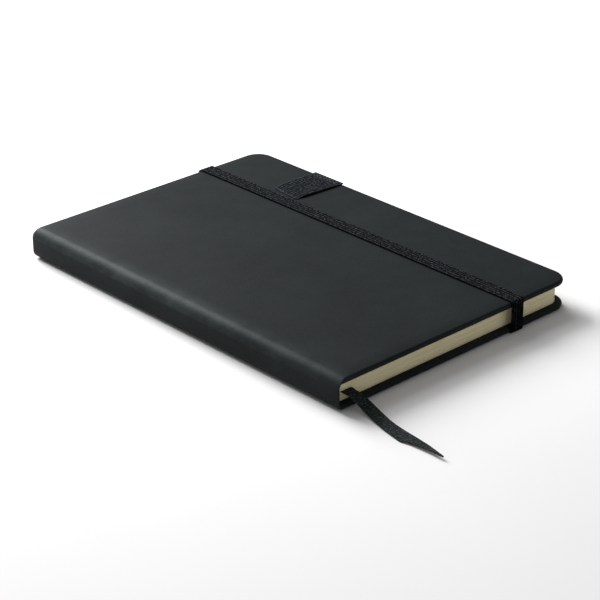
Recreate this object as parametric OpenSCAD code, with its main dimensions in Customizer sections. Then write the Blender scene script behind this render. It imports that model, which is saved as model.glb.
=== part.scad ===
// Sketchbook, hardcover, A5, with an elastic closure band, a flat pen loop and a ribbon marker.
//
// +X runs from the spine to the fore-edge, +Y from the tail to the head, +Z up.
// The book lies closed on its back cover. Z = 0 is the surface that it lies on.
// Units are millimetres.

/* [Covers] */

// Width of a cover, from the spine's outer face to the fore-edge
cover_w = 145; // [130:1:165]

// Height of a cover, from the tail to the head
cover_h = 210; // [180:1:240]

// Thickness of a cover: outer skin, board, turn-in and pastedown
cover_t = 2.7; // [2.5:0.1:3.1]

// Radius of the two fore-edge corners of each cover
corner_r = 9; // [6:0.5:12]

// How far the skin is turned in over the inside of the board
turn_in = 14; // [10:1:18]

/* [Pages] */

// Thickness of the closed text block
block_t = 9; // [7:0.5:12]

// How far the covers stand out beyond the pages
page_square = 3; // [2:0.5:4]

// Sewn sections in each half of the text block
half_sections = 4; // [4:1:6]

/* [Elastic band] */

// Width of the elastic band
band_w = 8; // [6:0.5:9]

// Distance from the fore-edge to the middle of the band
band_from_fore = 36; // [32:1:40]

/* [Pen loop] */

// Width of the pen loop, along the fore-edge
loop_w = 20; // [16:1:24]

// Length of the pen loop, from its inner seam to the fore-edge
loop_l = 31; // [26:0.5:31]

// Distance from the tail to the middle of the pen loop
loop_y = 157.5; // [120:0.5:160]

/* [Ribbon] */

// Width of the ribbon marker
ribbon_w = 6; // [4:0.5:6]

/* [Part shown] */

// The sub-part to draw, or all of them

/* [Hidden] */

$fn = 96;
eps = 0.5;

// the skin's layers
skin_t = 0.5;
turn_t = 0.3;
paste_t = 0.1;

// the band, and the shallow channel that its ends lie in under the back cover
band_t = 0.7;
channel_d = 0.25;
lift = band_t - channel_d;
band_x0 = cover_w - band_from_fore - band_w / 2;
band_gap = 0.3;
slot_y = 9;
flap_l = 20;

// heights of the stack
z_back = lift;
z_back_in = z_back + cover_t;
z_front_in = z_back_in + block_t;
z_front = z_front_in + cover_t;
z_mid = (z_back_in + z_front_in) / 2;

// the two joints between the spine and the covers
fold_r = cover_t / 2;
fold_x = fold_r + 0.05;
fold_gap = 0.3;

// the text block
page_x0 = 1.9;
page_x1 = cover_w - page_square;
page_r = corner_r - 2;
fly_t = 0.15;
lining_t = 0.15;
middle_gap = 0.92;
half_t = (block_t - middle_gap) / 2;
section_t = (half_t - fly_t) / half_sections;
z_rear_top = z_back_in + half_t;
z_front_low = z_front_in - half_t;
leaf_t = 0.16;
leaf_pitch = 0.2;
leaf_x0 = 2.4;
kerf = 0.6;
stations = 6;

// the ribbon
ribbon_t = 0.3;
ribbon_x = 7;
ribbon_z = z_rear_top + ribbon_t / 2;

// the pen loop
loop_t = 0.8;
loop_slack = 0.2;
seam_l = 4.5;
stitch_r = 0.2;
stitch_l = 1.7;
stitch_pitch = 2.4;

// the band's legs, which start above the back cover's edge
leg_z0 = 4.5;

// The spine's outer face and the tail edge are at x = 0 and y = 0 in every module
// below; this puts the middle of the book's footprint at the origin.
module here() {
    translate([-cover_w / 2, -cover_h / 2, 0]) children();
}

// A plate from x0 to x1 and y0 to y1, its two fore-edge corners rounded to r, from z0 to z1
module plate(x0, x1, y0, y1, r, z0, z1) {
    translate([0, 0, z0]) linear_extrude(height = z1 - z0) {
        translate([x0, y0]) square([x1 - r - x0, y1 - y0]);
        translate([x1 - r - 0.01, y0 + r]) square([r + 0.01, y1 - y0 - 2 * r]);
        translate([x1 - r, y0 + r]) circle(r = r);
        translate([x1 - r, y1 - r]) circle(r = r);
    }
}

// A box given by its two corners
module box(a, b) {
    translate(a) cube(b - a);
}

// A rod along Y
module rod_y(x, z, r, y0, y1) {
    translate([x, y0, z]) rotate([-90, 0, 0]) cylinder(r = r, h = y1 - y0);
}

// ---------------------------------------------------------------- covers
// Each cover is drawn with its outer face at z = 0 and its inner face up.

module cover_body(z0, z1, inset) {
    plate(fold_x + inset * 6, cover_w - inset, inset, cover_h - inset, corner_r - inset, z0, z1);
}

module skin_local() {
    difference() {
        cover_body(0, cover_t - paste_t, 0);
        rod_y(fold_x, fold_r, fold_r + fold_gap, -eps, cover_h + eps);
        cover_body(skin_t, cover_t - paste_t - turn_t, skin_t);
        plate(fold_x + turn_in, cover_w - turn_in, turn_in, cover_h - turn_in, 1, skin_t, cover_t);
    }
}

module board_local() {
    cover_body(skin_t, cover_t - paste_t - turn_t, skin_t);
}

// The endpaper pasted inside a cover: it fills the window in the turn-in and laps over it
module pastedown_local() {
    plate(fold_x + turn_in, cover_w - turn_in, turn_in, cover_h - turn_in, 1,
          cover_t - paste_t - turn_t, cover_t - paste_t);
    plate(fold_x + 4, page_x1, page_square, cover_h - page_square, page_r, cover_t - paste_t, cover_t);
}

module as_back() {
    translate([0, 0, z_back]) children();
}

module as_front() {
    translate([0, 0, z_front]) mirror([0, 0, 1]) children();
}

// One end of the elastic band: along the cover's edge, under the cover in its
// channel, up through a slot, and glued flat on the board under the pastedown
module band_end_tail() {
    box([band_x0, -band_gap - band_t, 0], [band_x0 + band_w, -band_gap, leg_z0]);
    box([band_x0, -band_gap, 0], [band_x0 + band_w, slot_y + band_t, band_t]);
    box([band_x0, slot_y, band_t], [band_x0 + band_w, slot_y + band_t, z_back_in - paste_t]);
    box([band_x0, slot_y + band_t, z_back_in - paste_t - turn_t],
        [band_x0 + band_w, slot_y + flap_l, z_back_in - paste_t]);
}

module head_side() {
    translate([0, cover_h, 0]) mirror([0, 1, 0]) children();
}

module band_room() {
    for (side = [0, 1]) translate([0, side * cover_h, 0]) mirror([0, side, 0]) {
        box([band_x0, -eps, -eps], [band_x0 + band_w, slot_y + band_t, band_t]);
        box([band_x0, slot_y, 0], [band_x0 + band_w, slot_y + band_t, z_back_in - paste_t]);
        box([band_x0, slot_y, z_back_in - paste_t - turn_t],
            [band_x0 + band_w, slot_y + flap_l, z_back_in - paste_t]);
    }
}

module back_board() {
    here() color([0.52, 0.50, 0.46]) difference() {
        as_back() board_local();
        band_room();
    }
}

module back_cover_skin() {
    here() color([0.17, 0.18, 0.18]) difference() {
        as_back() skin_local();
        band_room();
    }
}

module back_pastedown() {
    here() color([0.90, 0.87, 0.78]) difference() {
        as_back() pastedown_local();
        band_room();
    }
}

module front_board() {
    here() color([0.52, 0.50, 0.46]) as_front() board_local();
}

module front_cover_skin() {
    here() color([0.18, 0.19, 0.19]) as_front() skin_local();
}

module front_pastedown() {
    here() color([0.90, 0.87, 0.78]) as_front() pastedown_local();
}

// ---------------------------------------------------------------- spine

module spine_strip(x0, x1) {
    difference() {
        box([x0, 0, z_back + fold_r], [x1, cover_h, z_front - fold_r]);
        rod_y(fold_x, z_back + fold_r, fold_r, -eps, cover_h + eps);
        rod_y(fold_x, z_front - fold_r, fold_r, -eps, cover_h + eps);
    }
}

module spine_skin() {
    here() color([0.13, 0.14, 0.15]) spine_strip(0, skin_t);
}

module spine_liner() {
    here() color([0.50, 0.47, 0.42]) spine_strip(skin_t, fold_x);
}

module back_joint_fold() {
    here() color([0.14, 0.15, 0.16]) rod_y(fold_x, z_back + fold_r, fold_r, 0, cover_h);
}

module front_joint_fold() {
    here() color([0.14, 0.15, 0.16]) rod_y(fold_x, z_front - fold_r, fold_r, 0, cover_h);
}

// ---------------------------------------------------------------- pages

module page_plate(x0, z0, z1) {
    plate(x0, page_x1, page_square, cover_h - page_square, page_r, z0, z1);
}

function station_y(k) = page_square + 17 + k * (cover_h - 2 * page_square - 34) / (stations - 1);

// A sewn section, with a sawn kerf in its back at each sewing station
module section(n) {
    rear = n < half_sections;
    z0 = rear ? z_back_in + fly_t + n * section_t
              : z_front_low + (n - half_sections) * section_t;
    difference() {
        page_plate(page_x0, z0, z0 + section_t);
        for (k = [0 : stations - 1])
            box([page_x0 - eps, station_y(k) - kerf / 2, z0 - eps],
                [page_x0 + kerf, station_y(k) + kerf / 2, z0 + section_t + eps]);
    }
}

// Every section of a half, beyond the three that have a node of their own, is drawn with the fourth
module sections_from(first, last) {
    for (n = [first : last]) section(n);
}

module section_1() { here() color([0.87, 0.83, 0.72]) section(0); }
module section_2() { here() color([0.88, 0.84, 0.73]) section(1); }
module section_3() { here() color([0.87, 0.83, 0.72]) section(2); }
module section_4() { here() color([0.88, 0.84, 0.73]) if (half_sections > 3) sections_from(3, half_sections - 1); }
module section_5() { here() color([0.87, 0.83, 0.72]) section(half_sections); }
module section_6() { here() color([0.88, 0.84, 0.73]) section(half_sections + 1); }
module section_7() { here() color([0.87, 0.83, 0.72]) section(half_sections + 2); }
module section_8() { here() color([0.88, 0.84, 0.73]) if (half_sections > 3) sections_from(half_sections + 3, 2 * half_sections - 1); }

module thread(z0, z1) {
    for (k = [0 : stations - 1])
        translate([page_x0 + kerf / 2, station_y(k), z0]) cylinder(r = kerf / 2, h = z1 - z0, $fn = 32);
}

module sewing_thread_rear() {
    here() color([0.93, 0.92, 0.88]) thread(z_back_in + fly_t, z_rear_top);
}

module sewing_thread_front() {
    here() color([0.93, 0.92, 0.88]) thread(z_front_low, z_front_in - fly_t);
}

module lining(z0, z1) {
    box([page_x0 - lining_t, page_square + 6, z0], [page_x0, cover_h - page_square - 6, z1]);
}

module spine_lining_rear() {
    here() color([0.82, 0.80, 0.74]) lining(z_back_in + fly_t, z_rear_top);
}

module spine_lining_front() {
    here() color([0.82, 0.80, 0.74]) lining(z_front_low, z_front_in - fly_t);
}

module back_flyleaf() {
    here() color([0.90, 0.87, 0.78]) page_plate(page_x0, z_back_in, z_back_in + fly_t);
}

module front_flyleaf() {
    here() color([0.90, 0.87, 0.78]) page_plate(page_x0, z_front_in - fly_t, z_front_in);
}

module loose_leaf(n) {
    z0 = z_rear_top + ribbon_t + 0.02 + n * leaf_pitch;
    page_plate(leaf_x0, z0, z0 + leaf_t);
}

module loose_leaf_1() { here() color([0.89, 0.85, 0.74]) loose_leaf(0); }
module loose_leaf_2() { here() color([0.89, 0.85, 0.74]) loose_leaf(1); }
module loose_leaf_3() { here() color([0.89, 0.85, 0.74]) loose_leaf(2); }

// ---------------------------------------------------------------- pen loop
// A strap sewn flat on the front cover at both ends, with a little slack between

module stitch_row(x) {
    n = floor((loop_w - 2) / stitch_pitch);
    for (k = [0 : n - 1])
        rod_y(x, z_front + loop_t, stitch_r,
              loop_y + (k - (n - 1) / 2) * stitch_pitch - stitch_l / 2,
              loop_y + (k - (n - 1) / 2) * stitch_pitch + stitch_l / 2);
}

module stitches() {
    stitch_row(cover_w - loop_l + 1.4);
    stitch_row(cover_w - loop_l + 3.2);
    stitch_row(cover_w - 2.0);
}

module pen_loop() {
    x0 = cover_w - loop_l;
    here() color([0.15, 0.16, 0.16]) difference() {
        union() {
            box([x0, loop_y - loop_w / 2, z_front], [x0 + seam_l, loop_y + loop_w / 2, z_front + loop_t]);
            box([x0 + seam_l - 0.6, loop_y - loop_w / 2, z_front + loop_slack],
                [cover_w - seam_l + 0.6, loop_y + loop_w / 2, z_front + loop_slack + loop_t]);
            box([cover_w - seam_l, loop_y - loop_w / 2, z_front], [cover_w, loop_y + loop_w / 2, z_front + loop_t]);
        }
        stitches();
    }
}

module pen_loop_stitches() {
    here() color([0.28, 0.29, 0.29]) stitches();
}

// ---------------------------------------------------------------- elastic band

module elastic_tail_end() {
    here() color([0.12, 0.13, 0.13]) band_end_tail();
}

module elastic_head_end() {
    here() color([0.12, 0.13, 0.13]) head_side() band_end_tail();
}

module leg() {
    box([band_x0, -band_gap - band_t, leg_z0], [band_x0 + band_w, -band_gap, z_front]);
}

module elastic_tail_leg() {
    here() color([0.12, 0.13, 0.13]) leg();
}

module elastic_head_leg() {
    here() color([0.12, 0.13, 0.13]) head_side() leg();
}

module elastic_run() {
    here() color([0.12, 0.13, 0.13])
        box([band_x0, -band_gap - band_t, z_front],
            [band_x0 + band_w, cover_h + band_gap + band_t, z_front + band_t]);
}

// ---------------------------------------------------------------- ribbon

module ribbon_inner() {
    here() color([0.14, 0.15, 0.14])
        box([ribbon_x - ribbon_w / 2, page_square, z_rear_top],
            [ribbon_x + ribbon_w / 2, cover_h - page_square, z_rear_top + ribbon_t]);
}

// The free end's route from the pages: x, y, height and the tilt of its width in degrees
route = [
    [7, page_square, ribbon_z, 0],
    [7.2, 0.4, ribbon_z - 0.3, 2],
    [8.1, -2, ribbon_z - 1.5, 6],
    [8.9, -6, 3.7, 12],
    [8.8, -11, 1.9, 18],
    [7.6, -17, 1.45, 22],
    [6.2, -22.5, 1.45, 23],
    [5, -29, 1.45, 23],
    [4.3, -34, 1.4, 22],
    [3.7, -38, 1.35, 20],
    [2.6, -46, 1.15, 16],
    [1.2, -55, 0.85, 12]
];
steps = 4;
last = len(route) - 1;
cut_from = 8;

function at(i) = route[max(0, min(last, i))];
function curve(a, b, c, d, t) = 0.5 * (2 * b + (c - a) * t + (2 * a - 5 * b + 4 * c - d) * t * t
                                       + (3 * b - a - 3 * c + d) * t * t * t);
function route_at(s) = let (i = min(last - 1, floor(s)))
    curve(at(i - 1), at(i), at(i + 1), at(i + 2), s - i);
function unit(v) = v / norm(v);
function xyz(v) = [v[0], v[1], v[2]];
function heading(s) = s < 0.01 ? [0, -1, 0]
    : unit(xyz(route_at(min(last, s + 0.05)) - route_at(max(0, s - 0.05))));

// Four corners of the ribbon's section at s; its end is cut on the slant
function ring(s) = let (
    v = route_at(s),
    h = heading(s),
    side = unit(cross(h, [0, 0, 1])),
    flat = unit(cross(side, h)),
    wide = -side * cos(v[3]) + flat * sin(v[3]),
    thick = unit(cross(wide, h)),
    keep = s <= cut_from ? 0 : (s - cut_from) / (last - cut_from) * (ribbon_w - 0.6),
    a = xyz(v) - wide * (ribbon_w / 2 - keep),
    b = xyz(v) + wide * ribbon_w / 2,
    up = thick * ribbon_t / 2)
    [a - up, b - up, b + up, a + up];

module ribbon_tail() {
    n = last * steps;
    points = [for (k = [0 : n]) for (q = ring(k / steps)) q];
    sides = [for (k = [0 : n - 1]) for (j = [0 : 3]) let (m = (j + 1) % 4)
        each [[4 * k + j, 4 * k + m, 4 * k + 4 + m], [4 * k + j, 4 * k + 4 + m, 4 * k + 4 + j]]];
    ends = [[3, 2, 1, 0], [4 * n, 4 * n + 1, 4 * n + 2, 4 * n + 3]];
    here() color([0.14, 0.15, 0.14]) polyhedron(points = points, faces = concat(sides, ends), convexity = 6);
}

// ---------------------------------------------------------------- the book

back_board();
back_cover_skin();
back_pastedown();
back_flyleaf();
section_1();
section_2();
section_3();
section_4();
sewing_thread_rear();
spine_lining_rear();
spine_liner();
spine_skin();
back_joint_fold();
front_joint_fold();
loose_leaf_1();
loose_leaf_2();
loose_leaf_3();
section_5();
section_6();
section_7();
section_8();
sewing_thread_front();
spine_lining_front();
front_flyleaf();
front_board();
front_cover_skin();
front_pastedown();
pen_loop();
pen_loop_stitches();
elastic_tail_end();
elastic_head_end();
elastic_tail_leg();
elastic_head_leg();
elastic_run();
ribbon_inner();
ribbon_tail();
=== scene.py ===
import bpy
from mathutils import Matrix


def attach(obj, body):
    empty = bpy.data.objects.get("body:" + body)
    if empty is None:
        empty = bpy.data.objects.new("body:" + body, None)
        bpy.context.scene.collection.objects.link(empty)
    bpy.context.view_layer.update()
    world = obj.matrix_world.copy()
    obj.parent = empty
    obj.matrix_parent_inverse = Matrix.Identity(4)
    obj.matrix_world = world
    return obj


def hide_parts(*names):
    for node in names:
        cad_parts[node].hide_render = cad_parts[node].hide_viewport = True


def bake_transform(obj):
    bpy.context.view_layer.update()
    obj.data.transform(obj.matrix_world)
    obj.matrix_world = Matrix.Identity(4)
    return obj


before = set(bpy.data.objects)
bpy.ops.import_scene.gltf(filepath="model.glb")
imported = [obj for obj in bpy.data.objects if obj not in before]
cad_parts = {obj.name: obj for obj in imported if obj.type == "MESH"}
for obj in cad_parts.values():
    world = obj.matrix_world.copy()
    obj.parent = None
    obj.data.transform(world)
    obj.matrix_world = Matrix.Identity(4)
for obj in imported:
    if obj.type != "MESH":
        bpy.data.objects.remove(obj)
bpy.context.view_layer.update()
import bpy, bmesh, math, random
from mathutils import Vector, Matrix

# ------------------------------------------------------------------ the book's measures, in mm
# x from the spine's outer face, y from the tail, z from the surface that the book lies on
W, H = 145.0, 210.0
ZB, ZBI, ZFI, ZF = 0.45, 3.15, 12.15, 14.85
MID = 7.65
REAR_TOP, FRONT_LOW = 7.19, 8.11
R = 9.0
PAGE_X1, SQ, PAGE_R = 142.0, 3.0, 7.0
BAND_X, BAND_W, BAND_T = 109.0, 8.0, 0.7
LOOP_X0, LOOP_Y, LOOP_W = 114.0, 157.5, 20.0


def P(x, y, z):
    return Vector(((x - W / 2) / 1000, (y - H / 2) / 1000, z / 1000))


# ------------------------------------------------------------------ camera, solved from the photo's outlines
cam_data = bpy.data.cameras.new("camera")
cam = bpy.data.objects.new("camera", cam_data)
bpy.context.collection.objects.link(cam)
right = Vector((0.73182218, -0.68147486, -0.00532052)).normalized()
fwd = Vector((0.61116089, 0.65972767, -0.43731197)).normalized()
up = right.cross(fwd).normalized()
right = fwd.cross(up).normalized()
rot = Matrix((right, up, -fwd)).transposed().to_4x4()
cam.matrix_world = Matrix.Translation(P(-517.71, -537.07, 414.19 + ZB)) @ rot
cam_data.sensor_width = 36.0
cam_data.lens = 2079.16 / 600 * 36.0
cam_data.shift_x = -1.95 / 600
cam_data.shift_y = -0.45 / 600
cam_data.clip_end = 20
bpy.context.scene.camera = cam
bpy.context.scene.view_settings.view_transform = "Standard"


# ------------------------------------------------------------------ materials
def material(name, base, rough, shine=0.3):
    m = bpy.data.materials.new(name)
    m.use_nodes = True
    nt = m.node_tree
    bsdf = nt.nodes["Principled BSDF"]
    bsdf.inputs["Base Color"].default_value = (*base, 1)
    bsdf.inputs["Roughness"].default_value = rough
    bsdf.inputs["Specular IOR Level"].default_value = shine
    return m, nt, bsdf


def node(nt, kind, **values):
    n = nt.nodes.new(kind)
    for k, v in values.items():
        if k in n.inputs:
            n.inputs[k].default_value = v
        else:
            setattr(n, k, v)
    return n


def scaled(nt, sx, sy, sz, turn=0.0):
    tc = nt.nodes.new("ShaderNodeTexCoord")
    mp = nt.nodes.new("ShaderNodeMapping")
    mp.inputs["Scale"].default_value = (sx, sy, sz)
    mp.inputs["Rotation"].default_value = (0, 0, turn)
    nt.links.new(tc.outputs["Object"], mp.inputs["Vector"])
    return mp.outputs["Vector"]


def noise(nt, vec, scale, detail=4.0, rough=0.55):
    n = node(nt, "ShaderNodeTexNoise", Scale=scale, Detail=detail, Roughness=rough)
    nt.links.new(vec, n.inputs["Vector"])
    return n.outputs["Fac"]


def ramp(nt, fac, stops):
    r = nt.nodes.new("ShaderNodeValToRGB")
    e = r.color_ramp.elements
    while len(e) < len(stops):
        e.new(0.5)
    for q, (pos, col) in zip(e, stops):
        q.position = pos
        q.color = (*col, 1)
    nt.links.new(fac, r.inputs["Fac"])
    return r.outputs["Color"]


def math_node(nt, op, a, b=None):
    n = nt.nodes.new("ShaderNodeMath")
    n.operation = op
    for i, v in enumerate((a, b)):
        if v is None:
            continue
        if isinstance(v, (int, float)):
            n.inputs[i].default_value = v
        else:
            nt.links.new(v, n.inputs[i])
    return n.outputs[0]


def bump(nt, bsdf, height, strength, distance, chain=None):
    b = node(nt, "ShaderNodeBump", Strength=strength, Distance=distance)
    nt.links.new(height, b.inputs["Height"])
    if chain is not None:
        nt.links.new(chain, b.inputs["Normal"])
    nt.links.new(b.outputs["Normal"], bsdf.inputs["Normal"])
    return b.outputs["Normal"]


def mul(c, k):
    return tuple(x * k for x in c)


def between(nt, value, a, b):
    """0 at a, 1 at b, eased."""
    n = nt.nodes.new("ShaderNodeMapRange")
    n.interpolation_type = "SMOOTHSTEP"
    n.inputs["From Min"].default_value = a
    n.inputs["From Max"].default_value = b
    nt.links.new(value, n.inputs["Value"])
    return n.outputs["Result"]


def pu_skin(name, base, rough=0.5, grain=1.0, shine=0.05):
    """Matt synthetic leather with a fine grain. Its colour carries a painted highlight: paler along the spine's upper
    shoulder, less towards the tail.
    """
    m, nt, bsdf = material(name, base, rough, shine)
    v = scaled(nt, 1, 1, 1)
    cloud = noise(nt, v, 38, 5, 0.6)
    fine = noise(nt, v, 900, 3, 0.6)
    mix = math_node(nt, "ADD", math_node(nt, "MULTIPLY", cloud, 0.6), math_node(nt, "MULTIPLY", fine, 0.4))
    colour = ramp(nt, mix, [(0.32, mul(base, 0.72)), (0.52, base), (0.72, mul(base, 1.3))])
    sep = nt.nodes.new("ShaderNodeSeparateXYZ")
    nt.links.new(v, sep.inputs[0])
    # painted highlight: base colour lifted up to 2.6 times on the spine's upper shoulder near the spine, weaker towards
    # the tail
    shoulder_highlight = math_node(nt, "MULTIPLY", between(nt, sep.outputs[2], 0.0093, 0.0112), between(nt, sep.outputs[0], -0.0600, -0.0705))
    shoulder_highlight = math_node(nt, "MULTIPLY", shoulder_highlight, between(nt, noise(nt, v, 110, 3, 0.5), 0.0, 0.75))
    highlight_fade = math_node(nt, "ADD", math_node(nt, "MULTIPLY", between(nt, sep.outputs[1], -0.115, -0.03), 0.75), 0.25)
    lift = math_node(nt, "ADD", math_node(nt, "MULTIPLY", math_node(nt, "MULTIPLY", shoulder_highlight, highlight_fade), 1.6), 1.0)
    vm = nt.nodes.new("ShaderNodeVectorMath")
    vm.operation = "SCALE"
    nt.links.new(colour, vm.inputs[0])
    nt.links.new(lift, vm.inputs["Scale"])
    nt.links.new(vm.outputs["Vector"], bsdf.inputs["Base Color"])
    rr = node(nt, "ShaderNodeMapRange")
    rr.inputs["To Min"].default_value = rough - 0.06
    rr.inputs["To Max"].default_value = rough + 0.08
    nt.links.new(noise(nt, v, 120, 4), rr.inputs["Value"])
    nt.links.new(rr.outputs["Result"], bsdf.inputs["Roughness"])
    vor = node(nt, "ShaderNodeTexVoronoi", Scale=1500.0)
    nt.links.new(v, vor.inputs["Vector"])
    n1 = bump(nt, bsdf, vor.outputs["Distance"], 0.22 * grain, 0.00012)
    n2 = bump(nt, bsdf, fine, 0.25 * grain, 0.0002, n1)
    bump(nt, bsdf, noise(nt, v, 60, 3), 0.12, 0.0006, n2)
    return m


def paper(name, base, layers=0.0, rough=0.85):
    m, nt, bsdf = material(name, base, rough)
    v = scaled(nt, 1, 1, 1)
    blot = noise(nt, v, 45, 4)
    fibre = noise(nt, scaled(nt, 1, 3, 1, 0.4), 1400, 3, 0.7)
    mix = math_node(nt, "ADD", math_node(nt, "MULTIPLY", blot, 0.55), math_node(nt, "MULTIPLY", fibre, 0.45))
    if layers:
        thin = noise(nt, scaled(nt, 14, 14, 3600), 1.0, 4, 0.75)
        wide = noise(nt, scaled(nt, 30, 30, 1100), 1.0, 3, 0.7)
        strip = math_node(nt, "ADD", math_node(nt, "MULTIPLY", thin, 0.5), math_node(nt, "MULTIPLY", wide, 0.5))
        mix = math_node(nt, "ADD", math_node(nt, "MULTIPLY", mix, 1 - layers), math_node(nt, "MULTIPLY", strip, layers))
    brown = (base[0] * 0.80, base[1] * 0.74, base[2] * 0.64)
    nt.links.new(ramp(nt, mix, [(0.34, brown), (0.5, base), (0.66, tuple(min(1, x * 1.16) for x in base))]), bsdf.inputs["Base Color"])
    bump(nt, bsdf, fibre, 0.25, 0.0001)
    return m


def sheet_face(name, base):
    """A sheet's flat face: even, with a fine tooth and a few pale fibres."""
    m, nt, bsdf = material(name, base, 0.9, 0.1)
    v = scaled(nt, 1, 1, 1)
    blot = noise(nt, v, 9, 2)
    fibre = noise(nt, scaled(nt, 1, 4, 1, 0.4), 1100, 3, 0.7)
    mix = math_node(nt, "ADD", math_node(nt, "MULTIPLY", blot, 0.3), math_node(nt, "MULTIPLY", fibre, 0.7))
    nt.links.new(ramp(nt, mix, [(0.3, mul(base, 0.93)), (0.5, base), (0.7, tuple(min(1, x * 1.04) for x in base))]), bsdf.inputs["Base Color"])
    bump(nt, bsdf, fibre, 0.3, 0.00012)
    return m


def webbing(name, base, light, centre, width, ribs, across="x", rough=0.9, fleck=900.0, edge_light=0.0, level=0.0, shade_below_z=None):
    """A ribbed narrow tape: dark grooves between its ribs, flecks of light thread, and a selvedge at each edge.
    Below the height given as the last argument the colour is darkened: painted shade on the tape's upright legs."""
    m, nt, bsdf = material(name, base, rough, 0.03)
    v = scaled(nt, 1, 1, 1)
    sep = nt.nodes.new("ShaderNodeSeparateXYZ")
    nt.links.new(v, sep.inputs[0])
    a, b = (sep.outputs[0], sep.outputs[1]) if across == "x" else (sep.outputs[1], sep.outputs[0])
    u = math_node(nt, "DIVIDE", math_node(nt, "SUBTRACT", a, centre), width)
    rib = math_node(nt, "ABSOLUTE", math_node(nt, "SINE", math_node(nt, "MULTIPLY", math_node(nt, "ADD", u, 0.5), ribs * math.pi)))
    along = math_node(nt, "SINE", math_node(nt, "MULTIPLY", math_node(nt, "ADD", b, sep.outputs[2]), 1500 * math.pi))
    pick = math_node(nt, "ADD", math_node(nt, "MULTIPLY", along, 0.05), noise(nt, v, fleck, 2, 0.6))
    hair = noise(nt, v, 2600, 3, 0.7)
    mix = math_node(nt, "ADD", math_node(nt, "MULTIPLY", pick, 0.62), math_node(nt, "MULTIPLY", rib, 0.20))
    mix = math_node(nt, "ADD", math_node(nt, "ADD", mix, level), math_node(nt, "MULTIPLY", hair, 0.18))
    # painted shade: the tape is darkened below this height, so its upright legs look shaded
    if shade_below_z:
        leg_shade = math_node(nt, "MULTIPLY", between(nt, sep.outputs[2], shade_below_z, shade_below_z - 0.0008), -0.055)
        mix = math_node(nt, "ADD", mix, leg_shade)
    if edge_light:
        edge = math_node(nt, "GREATER_THAN", math_node(nt, "ABSOLUTE", u), 0.5 - 0.45 / 1000 / width)
        mix = math_node(nt, "ADD", mix, math_node(nt, "MULTIPLY", edge, edge_light))
    nt.links.new(ramp(nt, mix, [(0.42, mul(base, 0.2)), (0.52, base), (0.58, mul(base, 1.8)), (0.66, light)]), bsdf.inputs["Base Color"])
    n1 = bump(nt, bsdf, mix, 0.7, 0.0003)
    bump(nt, bsdf, hair, 0.3, 0.0001, n1)
    return m


def woven(name, base, warp, weft, rough=0.85, across="x", contrast=0.35, strength=0.5):
    """A narrow woven tape: warp threads a metre across it, and weft threads a metre along it."""
    m, nt, bsdf = material(name, base, rough, 0.1)
    v = scaled(nt, 1, 1, 1)
    sep = nt.nodes.new("ShaderNodeSeparateXYZ")
    nt.links.new(v, sep.inputs[0])
    a, b = (sep.outputs[0], sep.outputs[1]) if across == "x" else (sep.outputs[1], sep.outputs[0])
    wa = math_node(nt, "SINE", math_node(nt, "MULTIPLY", a, warp * 2 * math.pi))
    wz = math_node(nt, "ADD", b, sep.outputs[2])
    we = math_node(nt, "SINE", math_node(nt, "MULTIPLY", wz, weft * 2 * math.pi))
    weave = math_node(nt, "MULTIPLY", wa, we)
    half = math_node(nt, "ADD", math_node(nt, "MULTIPLY", weave, 0.5), 0.5)
    hair = math_node(nt, "ADD", math_node(nt, "MULTIPLY", noise(nt, v, 1800, 3, 0.7), 0.3), math_node(nt, "MULTIPLY", noise(nt, v, 620, 2, 0.6), 0.7))
    mix = math_node(nt, "ADD", math_node(nt, "MULTIPLY", half, 0.3), math_node(nt, "MULTIPLY", hair, 0.7))
    nt.links.new(ramp(nt, mix, [(0.42, mul(base, 1 - contrast)), (0.5, base), (0.58, mul(base, 1 + contrast))]), bsdf.inputs["Base Color"])
    n1 = bump(nt, bsdf, half, strength, 0.00015)
    bump(nt, bsdf, hair, 0.3, 0.0001, n1)
    return m


def fibre_board(name, base):
    m, nt, bsdf = material(name, base, 0.9)
    v = scaled(nt, 1, 2.5, 1)
    f = noise(nt, v, 500, 6, 0.7)
    nt.links.new(ramp(nt, f, [(0.3, mul(base, 0.7)), (0.5, base), (0.75, mul(base, 1.2))]), bsdf.inputs["Base Color"])
    bump(nt, bsdf, f, 0.4, 0.0002)
    return m


PU = pu_skin("pu_cover", (0.0132, 0.0160, 0.0164), 0.5)
STRAP = webbing("loop_webbing", (0.0068, 0.0083, 0.0098), (0.040, 0.046, 0.051), (LOOP_Y - H / 2) / 1000, LOOP_W / 1000, 12, "y", edge_light=0.22)
PAPER = paper("sketch_paper", (0.93, 0.83, 0.54), 0.6)
PAGE_FACE = sheet_face("page_face", (0.76, 0.71, 0.60))
ENDPAPER = sheet_face("endpaper", (0.74, 0.69, 0.58))
ELASTIC = webbing("elastic_webbing", (0.0034, 0.0042, 0.0052), (0.046, 0.052, 0.057), (BAND_X - W / 2) / 1000, BAND_W / 1000, 5, shade_below_z=0.0150)
RIBBON = webbing("ribbon_weave", (0.0255, 0.0290, 0.0300), (0.080, 0.088, 0.090), 0.0, 0.006, 0, rough=0.7, fleck=1500.0, level=0.098)
STRAP_THREAD = woven("strap_thread", (0.10, 0.11, 0.112), 2500, 2500, 0.7, across="y")
BOOK_THREAD = woven("book_thread", (0.62, 0.60, 0.54), 2500, 2500, 0.8, across="y")
MULL = woven("spine_mull", (0.55, 0.52, 0.45), 700, 700, 0.9, across="y", contrast=0.5)
BOARD = fibre_board("grey_board", (0.34, 0.32, 0.29))


# ------------------------------------------------------------------ mesh helpers
def make(name, verts, faces, mat, smooth=True):
    me = bpy.data.meshes.new(name)
    me.from_pydata([tuple(v) for v in verts], [], faces)
    me.validate()
    bm = bmesh.new()
    bm.from_mesh(me)
    bmesh.ops.recalc_face_normals(bm, faces=bm.faces)
    bm.to_mesh(me)
    bm.free()
    ob = bpy.data.objects.new(name, me)
    bpy.context.collection.objects.link(ob)
    me.materials.append(mat)
    for p in me.polygons:
        p.use_smooth = smooth
    return ob


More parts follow.
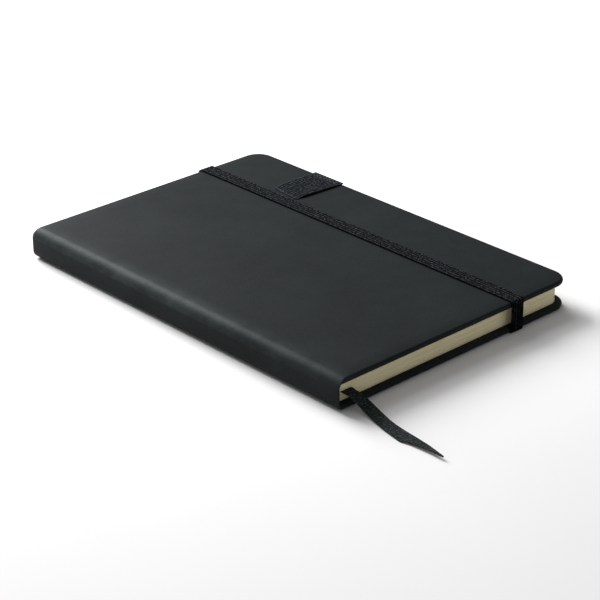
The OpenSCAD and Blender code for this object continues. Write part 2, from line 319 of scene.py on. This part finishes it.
def join_meshes(name, parts, mat, smooth=True):
    verts, faces = [], []
    for vs, fs in parts:
        base = len(verts)
        verts += vs
        faces += [tuple(i + base for i in f) for f in fs]
    return make(name, verts, faces, mat, smooth)


def shell(top, bot, normals, prof, open_start=False):
    """A closed plate from two grids [i][j], with its rim rounded by prof, a list of (outward, share of top).
    normals[(i, j)] points outwards at each rim point. With open_start, the i = 0 side has no rim."""
    ni, nj = len(top), len(top[0])
    verts, faces = [], []
    T = [[0] * nj for _ in range(ni)]
    B = [[0] * nj for _ in range(ni)]
    for i in range(ni):
        for j in range(nj):
            T[i][j] = len(verts)
            verts.append(top[i][j])
            B[i][j] = len(verts)
            verts.append(bot[i][j])
    for i in range(ni - 1):
        for j in range(nj - 1):
            faces.append((T[i][j], T[i + 1][j], T[i + 1][j + 1], T[i][j + 1]))
            faces.append((B[i][j], B[i][j + 1], B[i + 1][j + 1], B[i + 1][j]))
    path = [(i, nj - 1) for i in range(ni)] + [(ni - 1, j) for j in range(nj - 2, -1, -1)] + [(i, 0) for i in range(ni - 2, -1, -1)]
    if not open_start:
        path += [(0, j) for j in range(1, nj - 1)]
    rings = [[T[i][j] for i, j in path]]
    for out, f in prof:
        ring = []
        for i, j in path:
            ring.append(len(verts))
            a, b = top[i][j], bot[i][j]
            verts.append(b + (a - b) * f + normals[(i, j)] * out)
        rings.append(ring)
    rings.append([B[i][j] for i, j in path])
    n = len(path)
    last = n - 1 if open_start else n
    for r0, r1 in zip(rings, rings[1:]):
        for k in range(last):
            m = (k + 1) % n
            faces.append((r0[k], r0[m], r1[m], r1[k]))
    return verts, faces


def rim(e, t):
    """A rim rounded over e mm. The plate's thickness t is not used."""
    out = []
    for k in range(1, 8):
        a = math.pi * k / 8
        out.append((e * math.sin(a) / 1000, 0.5 + 0.5 * math.cos(a)))
    return out


def leaf_columns(x0, x1, y0, y1, r, e, ny, xs):
    """Grid of (x, y) for a plate with two rounded fore-edge corners, set in by e, with outward normals."""
    cols, normals = [], {}
    ys = [k / ny for k in range(ny + 1)]
    arc = [math.radians(90 - 90 * k / 10) for k in range(1, 11)]
    for x in xs:
        cols.append((x, y0 + e, y1 - e, Vector((0, 1, 0)), Vector((0, -1, 0))))
    for a in arc:
        x = x1 - r + (r - e) * math.cos(a)
        dy = (r - e) * math.sin(a)
        cols.append((x, y0 + r - dy, y1 - r + dy, Vector((math.cos(a), math.sin(a), 0)), Vector((math.cos(a), -math.sin(a), 0))))
    grid = []
    for i, (x, lo, hi, nh, nl) in enumerate(cols):
        grid.append([(x, lo + (hi - lo) * s) for s in ys])
        normals[(i, ny)] = nh
        normals[(i, 0)] = nl
    n = len(cols) - 1
    for j in range(1, ny):
        normals[(n, j)] = Vector((1, 0, 0))
        normals[(0, j)] = Vector((-1, 0, 0))
    normals[(0, 0)] = Vector((-1, -1, 0))
    normals[(0, ny)] = Vector((-1, 1, 0))
    return grid, normals


def faces_pale(ob, mat):
    """Gives a stack of leaves its own material on the flat faces; the cut edges keep the first one."""
    ob.data.materials.append(mat)
    for p in ob.data.polygons:
        if abs(p.normal.z) > 0.7:
            p.material_index = 1


def spaced(a, b, n):
    return [a + (b - a) * k / n for k in range(n + 1)]


# ------------------------------------------------------------------ ribbon marker (its free end is a limp cord)
RIB_W, RIB_T = 6.0, 0.3
RZ = REAR_TOP + RIB_T / 2
ROUTE = [
    (7, SQ, RZ, 0), (7.2, 0.4, RZ - 0.3, 2), (8.1, -2, RZ - 1.5, 5), (8.8, -6, 3.7, 8),
    (8.6, -11, 1.9, 10), (7.3, -17, 1.2, 11), (5.9, -22.5, 1.1, 12), (4.7, -29, 1.1, 13),
    (4.0, -34, 1.1, 15), (3.5, -38, 1.15, 16), (2.6, -46, 1.1, 15), (1.2, -55, 0.85, 12),
]


def catmull(route, s):
    n = len(route) - 1
    i = min(n - 1, int(math.floor(s)))
    t = s - i
    q = [route[max(0, min(n, i + k))] for k in (-1, 0, 1, 2)]
    return [0.5 * (2 * b + (c - a) * t + (2 * a - 5 * b + 4 * c - d) * t * t + (3 * b - a - 3 * c + d) * t ** 3)
            for a, b, c, d in zip(*q)]


def ribbon():
    n, steps, cut = len(ROUTE) - 1, 12, 8.0
    rows, line = [], []
    across = 12
    for k in range(n * steps + 1):
        s = k / steps
        v = catmull(ROUTE, s)
        a, b = catmull(ROUTE, min(n, s + 0.05)), catmull(ROUTE, max(0, s - 0.05))
        h = Vector((0, -1, 0)) if s < 0.01 else (Vector(a[:3]) - Vector(b[:3])).normalized()
        side = h.cross(Vector((0, 0, 1))).normalized()
        flat = side.cross(h).normalized()
        ang = math.radians(v[3])
        wide = -side * math.cos(ang) + flat * math.sin(ang)
        thick = wide.cross(h).normalized()
        keep = 0 if s <= cut else (s - cut) / (n - cut) * (RIB_W - 0.7)
        c = Vector(v[:3])
        ring = []
        half = RIB_W / 2 * (1 - 0.07 * math.exp(-((s - 5.5) / 2.2) ** 2))
        lo, hi = -half + keep, half
        line.append(c + wide * (lo + hi) / 2)
        for m in range(across + 1):
            u = lo + (hi - lo) * m / across
            edge = 0.72 if 1 < m < across - 1 else 1.0
            wave = 0.03 * math.sin(u * 7.0) * math.sin(s * 37)
            ring.append((c + wide * u + thick * (RIB_T / 2 * edge + wave)))
        for m in range(across, -1, -1):
            u = lo + (hi - lo) * m / across
            edge = 0.72 if 1 < m < across - 1 else 1.0
            wave = 0.02 * math.sin(u * 9.0) * math.sin(s * 40)
            ring.append((c + wide * u - thick * (RIB_T / 2 * edge - wave)))
        rows.append(ring)
    verts = [P(*v) for r in rows for v in r]
    m = len(rows[0])
    faces = [(r * m + q, r * m + (q + 1) % m, (r + 1) * m + (q + 1) % m, (r + 1) * m + q)
             for r in range(len(rows) - 1) for q in range(m)]
    faces += [tuple(range(m - 1, -1, -1)), tuple(range((len(rows) - 1) * m, len(rows) * m))]
    ob = make("ribbon_tail_cloth", verts, faces, RIBBON)
    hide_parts("ribbon_tail")
    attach(ob, "back_cover")
    # the part between the pages
    top, bot = [], []
    rnd = random.Random(5)
    ys = spaced(SQ, H - SQ, 80)
    lift = [0.015 * math.sin(k * 0.7) + rnd.uniform(-0.006, 0.006) for k in range(81)]
    for i in range(13):
        u = -RIB_W / 2 + RIB_W * i / 12
        edge = 0.75 if 1 < i < 11 else 1.0
        drift = [0.35 * math.sin(math.pi * k / 80) for k in range(81)]
        top.append([P(7 + u + drift[k], ys[k], RZ + 0.13 * edge + lift[k] * edge) for k in range(81)])
        bot.append([P(7 + u + drift[k], ys[k], RZ - 0.13 * edge) for k in range(81)])
    flat_n = {(i, j): Vector((0, 0, 0)) for i in range(13) for j in range(81)}
    vs, fs = shell(top, bot, flat_n, [])
    inner = make("ribbon_inner_cloth", vs, fs, RIBBON)
    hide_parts("ribbon_inner")
    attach(inner, "back_cover")
    return ob


ribbon()


# ------------------------------------------------------------------ cover skins
def skin(name, upper):
    """One cover's skin: half of the spine, the soft shoulder, and the cover with rounded rims."""
    e, sr = 1.15, (5.4 if upper else 3.2)
    ny = 30
    spine_x, inner_x = 0.0, 0.85
    cols = []
    for z in spaced(MID, ZF - sr, 6)[:-1]:
        cols.append(((spine_x, z), (inner_x, min(z, ZFI - 0.6))))
    for k in range(15):
        a = math.radians(180 - 90 * k / 14)
        cols.append(((sr + sr * math.cos(a), ZF - sr + sr * math.sin(a)),
                     (inner_x + 0.5 + 0.5 * math.cos(a), ZFI - 0.5 + 0.5 * math.sin(a))))
    for x in [sr + 0.2, sr + 0.5, sr + 1, 7, 8, 10, 12, 20, 32, 46, 60, 74, 88, 100, 110, 120, 128, W - R]:
        cols.append(((x, ZF), (x, ZFI)))
    n_line = len(cols)
    arc = [math.radians(90 - 90 * k / 12) for k in range(1, 13)]
    top, bot, normals = [], [], {}
    s = [k / ny for k in range(ny + 1)]
    rnd = random.Random(3 if upper else 4)

    def zz(z):
        return z if upper else 2 * MID - z

    for i, (o, q) in enumerate(cols):
        ys = [e + (H - 2 * e) * t for t in s]
        top.append([P(o[0], y, zz(o[1])) for y in ys])
        bot.append([P(q[0], y, zz(q[1])) for y in ys])
        normals[(i, 0)], normals[(i, ny)] = Vector((0, -1, 0)), Vector((0, 1, 0))
    for k, a in enumerate(arc):
        i = n_line + k
        x = W - R + (R - e) * math.cos(a)
        dy = (R - e) * math.sin(a)
        ys = [R - dy + (H - 2 * R + 2 * dy) * t for t in s]
        top.append([P(x, y, zz(ZF)) for y in ys])
        bot.append([P(x, y, zz(ZFI)) for y in ys])
        normals[(i, ny)] = Vector((math.cos(a), math.sin(a), 0))
        normals[(i, 0)] = Vector((math.cos(a), -math.sin(a), 0))
    n = len(top) - 1
    for j in range(1, ny):
        normals[(n, j)] = Vector((1, 0, 0))
    vs, fs = shell(top, bot, normals, rim(e, 2.7), open_start=True)
    ob = make(name, vs, fs, PU)
    return ob


upper = skin("front_cover_pu", True)
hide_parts("front_cover_skin", "front_joint_fold")
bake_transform(upper)
lower = skin("back_cover_pu", False)
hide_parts("back_cover_skin", "back_joint_fold", "spine_skin")
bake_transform(lower)


# ------------------------------------------------------------------ endpapers
def thin_plate(x0, x1, y0, y1, r, z0, z1, ny=6, xs=None, wave=0.0, seed=0):
    grid, normals = leaf_columns(x0, x1, y0, y1, r, 0.0, ny, xs or spaced(x0, x1 - r, 6))
    rnd = random.Random(seed)
    ph = rnd.uniform(0, 6)
    top = [[P(x, y, z1 + wave * math.sin(y * 0.05 + ph) * math.sin(x * 0.04)) for x, y in c] for c in grid]
    bot = [[P(x, y, z0 + wave * math.sin(y * 0.05 + ph) * math.sin(x * 0.04)) for x, y in c] for c in grid]
    return shell(top, bot, {k: v * 0 for k, v in normals.items()}, [])


def endpaper(name, node_name, body, z0, z1, x0):
    ob = join_meshes(name, [thin_plate(x0, PAGE_X1, SQ, H - SQ, PAGE_R, z0, z1)], ENDPAPER, smooth=False)
    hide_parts(node_name)
    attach(ob, body)


endpaper("front_pastedown_paper", "front_pastedown", "front_cover", ZFI - 0.02, ZFI + 0.1, 5.4)
endpaper("back_pastedown_paper", "back_pastedown", "back_cover", ZBI - 0.1, ZBI + 0.02, 5.4)
endpaper("front_flyleaf_paper", "front_flyleaf", "front_pages", ZFI - 0.15, ZFI - 0.03, 1.9)
endpaper("back_flyleaf_paper", "back_flyleaf", "back_cover", ZBI + 0.03, ZBI + 0.15, 1.9)


# ------------------------------------------------------------------ sewn sections, leaf by leaf
def section(n):
    rear = n <= 4
    t = (4.04 - 0.15) / 4
    z0 = (ZBI + 0.15 + (n - 1) * t) if rear else (FRONT_LOW + (n - 5) * t)
    rnd = random.Random(100 + n)
    leaves = 7
    parts = []
    for k in range(leaves):
        a = z0 + t * k / leaves
        dx, dy0, dy1 = rnd.uniform(-0.16, 0.05), rnd.uniform(-0.05, 0.14), rnd.uniform(-0.14, 0.05)
        parts.append(thin_plate(1.72, PAGE_X1 + dx, SQ + dy0, H - SQ + dy1, PAGE_R + rnd.uniform(-0.1, 0.1),
                                a + 0.006, a + t / leaves - rnd.uniform(0.004, 0.02), ny=4, xs=spaced(1.72, PAGE_X1 + dx - PAGE_R, 3)))
    if n == 4:
        for k in range(2):
            parts.append(thin_plate(10.5, PAGE_X1 - 0.08 - 0.05 * k, SQ + 0.03 + 0.05 * k, H - SQ - 0.05, PAGE_R, REAR_TOP + 0.005 + 0.155 * k,
                                    REAR_TOP + 0.15 + 0.155 * k, ny=4, xs=spaced(10.5, PAGE_X1 - 0.1 - PAGE_R, 3)))
    ob = join_meshes("section_%d_leaves" % n, parts, PAPER, smooth=False)
    faces_pale(ob, PAGE_FACE)
    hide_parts("section_%d" % n)
    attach(ob, "back_cover" if rear else "front_pages")


for n in range(1, 9):
    section(n)


# ------------------------------------------------------------------ the leaves that turn singly
for n in (1, 2, 3):
    z0 = REAR_TOP + 0.32 + (n - 1) * 0.2
    xs = spaced(1.95, 30, 28) + spaced(30, PAGE_X1 - PAGE_R, 8)[1:]
    vs, fs = thin_plate(1.95, PAGE_X1 - 0.05 * n, SQ + 0.04 * n, H - SQ - 0.03 * n, PAGE_R, z0 + 0.01, z0 + 0.15, ny=6, xs=xs)
    ob = make("leaf_%d_paper" % n, vs, fs, PAPER, smooth=False)
    faces_pale(ob, PAGE_FACE)
    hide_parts("loose_leaf_%d" % n)
    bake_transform(ob)


# ------------------------------------------------------------------ lining on the sections' backs
def mull(name, node_name, body, z0, z1):
    rnd = random.Random(7)
    top, bot = [], []
    ys = spaced(SQ + 6, H - SQ - 6, 60)
    zs = spaced(z0, z1, 10)
    for z in zs:
        top.append([P(1.62 + rnd.uniform(0, 0.02), y, z) for y in ys])
        bot.append([P(1.71, y, z) for y in ys])
    vs, fs = shell(top, bot, {(i, j): Vector((0, 0, 0)) for i in range(11) for j in range(61)}, [])
    ob = make(name, vs, fs, MULL)
    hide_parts(node_name)
    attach(ob, body)


mull("spine_mull_rear", "spine_lining_rear", "back_cover", ZBI + 0.15, REAR_TOP)
mull("spine_mull_front", "spine_lining_front", "front_pages", FRONT_LOW, ZFI - 0.15)


# ------------------------------------------------------------------ liner strip inside the spine, carried by the spine
def liner():
    zs = spaced(2 * MID - 9.75, 9.75, 12)
    ys = spaced(2.7, H - 2.7, 60)
    top, bot = [], []
    rnd = random.Random(11)
    for i, z in enumerate(zs):
        soft = 0.12 if i in (0, 12) else 0.0
        top.append([P(0.90 + soft, y, z) for y in ys])
        bot.append([P(1.34 - soft + rnd.uniform(-0.015, 0.015), y, z) for y in ys])
    vs, fs = shell(top, bot, {(i, j): Vector((0, 0, 0)) for i in range(13) for j in range(61)}, [])
    ob = make("spine_liner_card", vs, fs, PAPER)
    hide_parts("spine_liner")
    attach(ob, "spine")


liner()


# ------------------------------------------------------------------ elastic band
def tape(path, x_mid, width, thick, ribs, narrow=0.0, drift=0.0):
    """A tape of the given width along X, swept along path, a list of (y, z), with ribs along its length.
    Where it stands upright it is narrower by the given share, and lies drift mm nearer to the spine."""
    n = ribs * 8
    us = [-width / 2 + width * k / n for k in range(n + 1)]

    def height(u):
        edge = min(1.0, (width / 2 - abs(u)) / 0.35)
        soft = math.sqrt(max(0.0, 1 - (1 - edge) ** 2))
        rib = abs(math.sin((u / width + 0.5) * ribs * math.pi)) ** 0.6
        return thick / 2 * (0.72 + 0.28 * soft) * (0.72 + 0.28 * rib)

    verts = []
    m = 2 * (n + 1)
    for k, (y, z) in enumerate(path):
        a, b = path[max(0, k - 1)], path[min(len(path) - 1, k + 1)]
        d = Vector((b[0] - a[0], b[1] - a[1])).normalized()
        nx, nz = d[1], -d[0]
        f = 1 - narrow * abs(d[1]) ** 2
        xm = x_mid - drift * abs(d[1]) ** 2
        for u in us:
            h = height(u)
            verts.append(P(xm + u * f, y - nx * h, z - nz * h))
        for u in reversed(us):
            h = height(u)
            verts.append(P(xm + u * f, y + nx * h, z + nz * h))
    faces = [(r * m + q, r * m + (q + 1) % m, (r + 1) * m + (q + 1) % m, (r + 1) * m + q)
             for r in range(len(path) - 1) for q in range(m)]
    faces += [tuple(range(m - 1, -1, -1)), tuple(range((len(path) - 1) * m, len(path) * m))]
    return verts, faces


def turn(cy, cz, r, a0, a1, n):
    return [(cy + r * math.cos(math.radians(a0 + (a1 - a0) * k / n)), cz + r * math.sin(math.radians(a0 + (a1 - a0) * k / n)))
            for k in range(n + 1)]


LEG_Y = -0.65
LEG_Z0 = 4.5
up_leg = [(LEG_Y, z) for z in spaced(LEG_Z0, 13.75, 22)]
corner = turn(LEG_Y + 1.3, 13.97, 1.3, 180, 90, 10)
run = [(y, 15.27) for y in spaced(LEG_Y + 1.3, H - LEG_Y - 1.3, 60)][1:-1]
far = [(H - y, z) for y, z in reversed(corner)]
down = [(H - y, z) for y, z in reversed(up_leg)]
vs, fs = tape(up_leg + corner + run + far + down, BAND_X, BAND_W, BAND_T, 5, 0.06, 0.8)
band = make("elastic_band", vs, fs, ELASTIC)
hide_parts("elastic_run", "elastic_tail_leg", "elastic_head_leg")
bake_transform(band)

for name, node_name, head in (("elastic_tail_anchor", "elastic_tail_end", False), ("elastic_head_anchor", "elastic_head_end", True)):
    line = [(LEG_Y, z) for z in spaced(LEG_Z0, 1.5, 14)] + turn(LEG_Y + 1.0, 1.35, 1.0, 180, 270, 8)
    line += [(y, 0.35) for y in spaced(0.6, 8.4, 10)] + turn(8.4, 1.25, 0.9, 270, 360, 6) + [(9.3, 1.8), (9.3, 2.5)]
    if head:
        line = [(H - y, z) for y, z in line]
    vs, fs = tape(line, BAND_X, BAND_W, BAND_T, 5, 0.06, 0.8)
    ob = make(name, vs, fs, ELASTIC)
    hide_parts(node_name)
    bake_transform(ob)


# ------------------------------------------------------------------ pen loop, sewn flat at both ends
def loop_height(x):
    """Heights of the strap's underside and top over the cover: flat at the seams, standing off between them."""
    a = max(0.0, min(1.0, (x - LOOP_X0 - 4.0) / 2.6))
    b = max(0.0, min(1.0, (W - 3.6 - x) / 2.4))
    s = a * a * (3 - 2 * a) * b * b * (3 - 2 * b)
    c = max(0.0, min(1.0, (x - LOOP_X0) / 6.0))
    return 0.42 * s, 0.22 + 0.55 * c * c * (3 - 2 * c) + 0.2 * s


def pen_loop():
    e = 0.3
    xs = spaced(LOOP_X0 + e, W - e, 48)
    nj = 120
    ys = spaced(LOOP_Y - LOOP_W / 2 + e, LOOP_Y + LOOP_W / 2 - e, nj)
    top, bot, normals = [], [], {}
    for i, x in enumerate(xs):
        lo, hi = loop_height(x)
        seam = min(abs(x - LOOP_X0 - 1.4), abs(x - (W - 2.0)))
        dent = 0.07 * math.exp(-(seam / 0.45) ** 2)
        row, low = [], []
        for y in ys:
            u = (y - LOOP_Y) / LOOP_W
            rib = abs(math.sin((u + 0.5) * 12 * math.pi)) ** 0.7
            selv = 0.06 if abs(u) > 0.477 else 0.0
            far = (W - x) / (W - LOOP_X0)
            px = x + far ** 3 * (0.3 + 2.0 * (u + 0.5))
            py = y + 1.7 * far * (0.5 - u)
            row.append(P(px, py, ZF + hi - dent - 0.09 * (1 - rib) + selv))
            low.append(P(px, py, ZF + lo))
        top.append(row)
        bot.append(low)
        normals[(i, 0)], normals[(i, nj)] = Vector((0, -1, 0)), Vector((0, 1, 0))
    for j in range(1, nj):
        normals[(0, j)], normals[(48, j)] = Vector((-1, 0, 0)), Vector((1, 0, 0))
    for i, sx in ((0, -1), (48, 1)):
        for j, sy in ((0, -1), (nj, 1)):
            normals[(i, j)] = Vector((sx * 0.8, sy * 0.8, 0))
    prof = [(e * math.sin(math.pi * k / 6) / 1000, 0.5 + 0.5 * math.cos(math.pi * k / 6)) for k in range(1, 6)]
    vs, fs = shell(top, bot, normals, prof)
    ob = make("pen_loop_strap", vs, fs, STRAP)
    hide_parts("pen_loop")
    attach(ob, "front_cover")
    parts = []
    for x in (LOOP_X0 + 1.4, W - 2.0, W - 3.6):
        base_z = ZF + loop_height(x)[1] - (0.07 if x != W - 3.6 else 0.0)
        far = (W - x) / (W - LOOP_X0)
        for k in range(7):
            yc = LOOP_Y + (k - 3) * 2.4
            u = (k - 3) * 2.4 / LOOP_W
            yc += 1.7 * far * (0.5 - u)
            xc = x + far ** 3 * (0.3 + 2.0 * (u + 0.5))
            rings = []
            for s in range(9):
                t = s / 8
                y = yc - 0.85 + 1.7 * t
                z = base_z - 0.1 + 0.2 * math.sin(math.pi * t)
                rad = 0.19 * (0.55 + 0.45 * math.sin(math.pi * t))
                rings.append([P(xc + rad * math.cos(q * math.pi / 4), y, z + rad * math.sin(q * math.pi / 4)) for q in range(8)])
            v = [p for r in rings for p in r]
            f = [(r * 8 + q, r * 8 + (q + 1) % 8, (r + 1) * 8 + (q + 1) % 8, (r + 1) * 8 + q) for r in range(8) for q in range(8)]
            f += [tuple(range(7, -1, -1)), tuple(range(64, 72))]
            parts.append((v, f))
    st = join_meshes("pen_loop_thread", parts, STRAP_THREAD)
    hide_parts("pen_loop_stitches")
    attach(st, "front_cover")


pen_loop()

# ------------------------------------------------------------------ what stays as the CAD draws it, inside the skins
for name, mat in (("front_board", BOARD), ("back_board", BOARD),
                  ("sewing_thread_rear", BOOK_THREAD), ("sewing_thread_front", BOOK_THREAD)):
    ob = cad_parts[name]
    ob.data.materials.clear()
    ob.data.materials.append(mat)

# ------------------------------------------------------------------ floor and light
floor_m, fnt, fb = material("floor", (0.86, 0.86, 0.86), 0.9)
nt_v = scaled(fnt, 1, 1, 1)
fnt.links.new(ramp(fnt, noise(fnt, nt_v, 6, 3), [(0.3, (0.85, 0.85, 0.85)), (0.7, (0.87, 0.87, 0.87))]), fb.inputs["Base Color"])
bpy.ops.mesh.primitive_plane_add(size=6, location=(0, 0, -0.00002))
floor = bpy.context.object
floor.name = "floor"
floor.data.materials.append(floor_m)

world = bpy.data.worlds.new("world")
bpy.context.scene.world = world
world.use_nodes = True
world.node_tree.nodes["Background"].inputs["Color"].default_value = (1, 1, 1, 1)
world.node_tree.nodes["Background"].inputs["Strength"].default_value = 0.28


def area(name, loc, size, power, target=(0, 0, 0)):
    d = bpy.data.lights.new(name, "AREA")
    d.shape = "DISK"
    d.size = size
    d.energy = power
    o = bpy.data.objects.new(name, d)
    bpy.context.collection.objects.link(o)
    o.location = loc
    o.rotation_euler = (Vector(target) - Vector(loc)).to_track_quat("-Z", "Y").to_euler()
    return o


area("key", (0.25, 2.1, 1.9), 2.2, 49)
area("glow", (-0.005, 0.72, 0.44), 0.5, 11.4)
